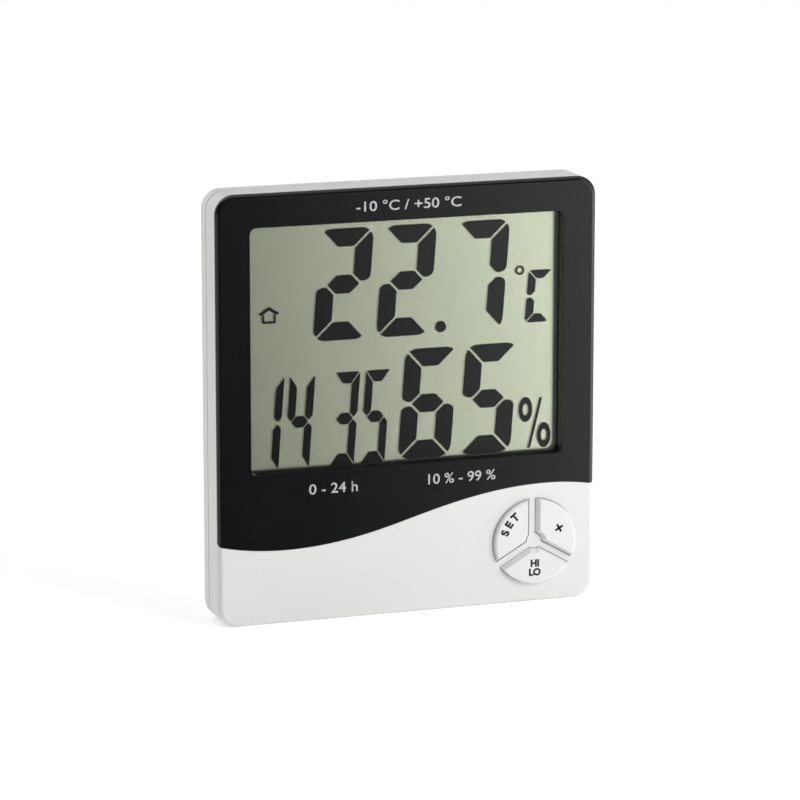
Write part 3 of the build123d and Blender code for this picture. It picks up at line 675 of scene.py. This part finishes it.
def reflecting_film(material):
    """The die-cut film behind the display cell, with a hair of air on both faces."""
    low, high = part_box("lcd_reflector")
    mesh = bmesh.new()
    outline = rounded_sheet((low.x / MM, low.z / MM), (high.x / MM, high.z / MM), FILM_CORNER)
    front_prism(mesh, outline, low.y + FILM_INSET * MM, high.y - FILM_INSET * MM)
    sheet = finish_piece("reflecting_film", mesh, material, "case")
    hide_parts("lcd_reflector")


def display_readings(name, near_y, far_y, shift, material):
    """All dark shapes of the display between two planes, moved sideways by a shift in millimetres."""
    mesh = bmesh.new()
    for size, centre, lit in READINGS:
        for outline in digit_outlines(size, centre, lit):
            front_prism(mesh, outline, near_y, far_y)
    front_prism(mesh, circle(POINT_CENTRE, (POINT_RADIUS, POINT_RADIUS)), near_y, far_y)
    for outline in house_outlines(HOUSE_CENTRE, HOUSE_SIZE, HOUSE_WALL):
        front_prism(mesh, outline, near_y, far_y)
    front_prism(mesh, bar_outline(*PERCENT_BAR, PERCENT_BAR_WIDTH), near_y, far_y)
    degree = [circle(DEGREE_CENTRE, (radius, radius)) for radius in (DEGREE_OUTER, DEGREE_INNER)]
    front_ring(mesh, *degree, near_y, far_y)
    for centre in PERCENT_RINGS:
        front_ring(mesh, circle(centre, PERCENT_OUTER), circle(centre, PERCENT_INNER), near_y, far_y)
    bmesh.ops.translate(mesh, verts=mesh.verts, vec=(shift * MM, 0, 0))
    piece = finish_piece(name, mesh, material, "case")
    piece.visible_glossy = False


def text_mesh(text, weight):
    """The outline of a text as a flat mesh, in the font's own units; the weight thickens its strokes."""
    curve = bpy.data.curves.new("text_outline", "FONT")
    curve.body = text
    curve.offset = weight
    curve.resolution_u = LETTER_STEPS
    holder = bpy.data.objects.new("text_outline", curve)
    bpy.context.scene.collection.objects.link(holder)
    bpy.context.view_layer.update()
    data = bpy.data.meshes.new_from_object(holder.evaluated_get(bpy.context.evaluated_depsgraph_get()))
    bpy.data.objects.remove(holder)
    bpy.data.curves.remove(curve)
    return data


def extent(data, axis):
    """Lowest and highest place of a mesh along an axis."""
    places = [vertex.co[axis] for vertex in data.vertices]
    return min(places), max(places)


def add_text(mesh, text, middle, turn, size, weight, near_y, far_y):
    """Adds a printed text to a bmesh. Its size is its width, or None, and the height of its capitals."""
    capital = text_mesh("H", weight)
    low, high = extent(capital, 1)
    bpy.data.meshes.remove(capital)
    data = text_mesh(text, weight)
    left, right = extent(data, 0)
    height = size[1] / (high - low)
    width = size[0] / (right - left) if size[0] else height
    centre = Vector(((left + right) / 2, (low + high) / 2, 0))
    flat = bmesh.new()
    flat.from_mesh(data)
    bmesh.ops.remove_doubles(flat, verts=flat.verts, dist=LETTER_WELD)
    bmesh.ops.translate(flat, verts=flat.verts, vec=-centre)
    bmesh.ops.scale(flat, verts=flat.verts, vec=(width * MM, height * MM, 1.0))
    bmesh.ops.rotate(flat, verts=flat.verts, matrix=Matrix.Rotation(turn, 3, "Z"))
    raised = bmesh.ops.extrude_face_region(flat, geom=list(flat.faces), use_keep_orig=True)
    upper = [part for part in raised["geom"] if isinstance(part, bmesh.types.BMVert)]
    bmesh.ops.translate(flat, verts=upper, vec=(0, 0, far_y - near_y))
    bmesh.ops.rotate(flat, verts=flat.verts, matrix=Matrix.Rotation(math.radians(90), 3, "X"))
    bmesh.ops.translate(flat, verts=flat.verts, vec=(middle[0] * MM, far_y, middle[1] * MM))
    flat.to_mesh(data)
    flat.free()
    mesh.from_mesh(data)
    bpy.data.meshes.remove(data)


def bezel_prints(material):
    """Measuring ranges, printed on the bezel above and below the window."""
    far_y = FRONT_Y
    near_y = FRONT_Y - PRINT_THICKNESS * MM
    for name, text, middle, width, height in BEZEL_PRINTS:
        mesh = bmesh.new()
        add_text(mesh, text, middle, 0.0, (width, height), BEZEL_PRINT_WEIGHT, near_y, far_y)
        finish_piece(name, mesh, material, "case")


def key_prints(material):
    """Marks printed on the three keys."""
    far_y = KEY_TOP_Y + KEY_PRINT_THICKNESS / 2 * MM
    near_y = KEY_TOP_Y - KEY_PRINT_THICKNESS / 2 * MM
    mesh = bmesh.new()
    for i, letter in enumerate(ARC_PRINT):
        angle = ARC_PRINT_MIDDLE + ARC_PRINT_STEP * ((len(ARC_PRINT) - 1) / 2 - i)
        middle = KEY_CENTRE + ARC_PRINT_RADIUS * Vector((math.cos(angle), math.sin(angle)))
        turn = angle - math.radians(90)
        add_text(mesh, letter, middle, turn, (None, ARC_PRINT_HEIGHT), KEY_PRINT_WEIGHT, near_y, far_y)
    finish_piece("left_key_print", mesh, material, "left_key")
    mesh = bmesh.new()
    for turn in (PLUS_TURN, PLUS_TURN + math.radians(90)):
        along = Vector((math.cos(turn), math.sin(turn))) * PLUS_SPAN / 2
        across = Vector((-math.sin(turn), math.cos(turn))) * PLUS_STROKE / 2
        corners = [along + across, -along + across, -along - across, along - across]
        outline = [(PLUS_CENTRE[0] + c.x, PLUS_CENTRE[1] + c.y) for c in corners]
        front_prism(mesh, outline, near_y, far_y)
    finish_piece("right_key_print", mesh, material, "right_key")
    mesh = bmesh.new()
    for text, middle in LINE_PRINTS:
        add_text(mesh, text, middle, 0.0, (None, LINE_PRINT_HEIGHT), KEY_PRINT_WEIGHT, near_y, far_y)
    finish_piece("bottom_key_print", mesh, material, "bottom_key")


def stage():
    """Pale floor, and one broad lamp from the front right that stays out of the reflections."""
    mesh = bmesh.new()
    bmesh.ops.create_grid(mesh, x_segments=1, y_segments=1, size=FLOOR_HALF)
    bmesh.ops.translate(mesh, verts=mesh.verts, vec=(0, 0, cad_box[0].z - FLOOR_GAP))
    data = bpy.data.meshes.new("floor")
    mesh.to_mesh(data)
    mesh.free()
    data.materials.append(pale_floor())
    floor = bpy.data.objects.new("floor", data)
    bpy.context.scene.collection.objects.link(floor)
    floor.visible_glossy = False
    lamp = bpy.data.lights.new("front_lamp", "AREA")
    lamp.shape = "RECTANGLE"
    lamp.size = LAMP_SIZE
    lamp.size_y = LAMP_SIZE
    lamp.energy = LAMP_POWER
    holder = bpy.data.objects.new("front_lamp", lamp)
    holder.location = LAMP_PLACE
    holder.rotation_euler = (LAMP_AIM - LAMP_PLACE).to_track_quat("-Z", "Y").to_euler()
    holder.visible_camera = False
    holder.visible_glossy = False
    bpy.context.scene.collection.objects.link(holder)


def sky():
    """Studio surroundings: bright walls on both sides, a ceiling, a bright low screen on the right and a
    fill behind on the left, with a dim sector in front, which the black gloss mirrors."""
    world = bpy.data.worlds.new("studio")
    bpy.context.scene.world = world
    nodes = Nodes(world)
    place = nodes.node("ShaderNodeTexCoord", output="Generated")
    east = nodes.axis(place, "X")
    south = nodes.axis(place, "Y") * -1.0
    height = nodes.axis(place, "Z")
    azimuth = east.math("ARCTAN2", east, south) * (180 / math.pi)
    elevation = height.math("ARCSINE", height) * (180 / math.pi)
    below = elevation.math("MINIMUM", elevation, 0.0)
    over = elevation.math("MAXIMUM", elevation, 0.0)
    slant = (below + EDGE_SLANT_PIVOT) * EDGE_SLANT_BELOW - over * EDGE_SLANT_ABOVE
    right_edge = nodes.smooth(azimuth + slant, *RIGHT_WALL_EDGE)
    right = right_edge - nodes.smooth(azimuth, *RIGHT_WALL_FADE, 0.0, RIGHT_WALL_LOSS)
    drawn_back = nodes.smooth(elevation, *LEFT_WALL_STEP, 0.0, LEFT_WALL_DRAWN_BACK)
    left = nodes.smooth(azimuth + drawn_back, *LEFT_WALL_EDGE, LEFT_WALL_SHARE, 0.0)
    above = nodes.smooth(elevation, *CEILING_EDGE, 0.0, CEILING_SHARE)
    lit = 1.0 - (1.0 - right) * (1.0 - left) * (1.0 - above)
    screen = nodes.smooth(azimuth, *SCREEN_EDGE) - nodes.smooth(azimuth, *SCREEN_FADE)
    screen_height = nodes.smooth(elevation, *SCREEN_TOP, 1.0, 0.0)
    fill = nodes.smooth(azimuth, *FILL_EDGE, 1.0, 0.0) * nodes.smooth(elevation, *FILL_FOOT)
    strength = DIM_LEVEL + lit * WALL_LEVEL + screen * screen_height * SCREEN_LEVEL + fill * FILL_LEVEL
    background = nodes.node("ShaderNodeBackground", None, {"Color": grey(1.0), "Strength": strength})
    nodes.node("ShaderNodeOutputWorld", None, {"Surface": background})


def camera():
    """The camera, looking at the clock from its front left and a little from above."""
    data = bpy.data.cameras.new("photo_camera")
    data.sensor_width = VIEW_SENSOR
    data.lens = VIEW_LENS
    data.clip_start, data.clip_end = VIEW_RANGE
    level = math.cos(VIEW_PITCH)
    back = Vector((-math.sin(VIEW_YAW) * level, -math.cos(VIEW_YAW) * level, math.sin(VIEW_PITCH)))
    holder = bpy.data.objects.new("photo_camera", data)
    holder.location = VIEW_TARGET + back * VIEW_DISTANCE
    holder.rotation_euler = (-back).to_track_quat("-Z", "Y").to_euler()
    bpy.context.scene.collection.objects.link(holder)
    bpy.context.scene.camera = holder


camera()
stage()
sky()
bpy.context.scene.view_settings.view_transform = "Standard"
bpy.context.scene.cycles.transparent_max_bounces = CLEAR_FACES
film = display_film()
dress_nodes(film)
reflecting_film(film)
segment_half = SEGMENT_THICKNESS / 2 * MM
ink = display_ink("segment_dark", 0.008, (1.0, 1.05, 1.05))
display_readings("display_segments", SEGMENT_Y - segment_half, SEGMENT_Y + segment_half, 0.0, ink)
shade_near_y = FILM_Y + SHADE_AIR * MM
shade_far_y = shade_near_y + SHADE_THICKNESS * MM
display_readings("display_shades", shade_near_y, shade_far_y, SHADE_SHIFT, segment_shade())
bezel_prints(print_ink("print_pale_grey", 0.46, (0.97, 1.0, 1.0)))
key_prints(print_ink("print_black", 0.012, (1.0, 1.0, 1.0)))
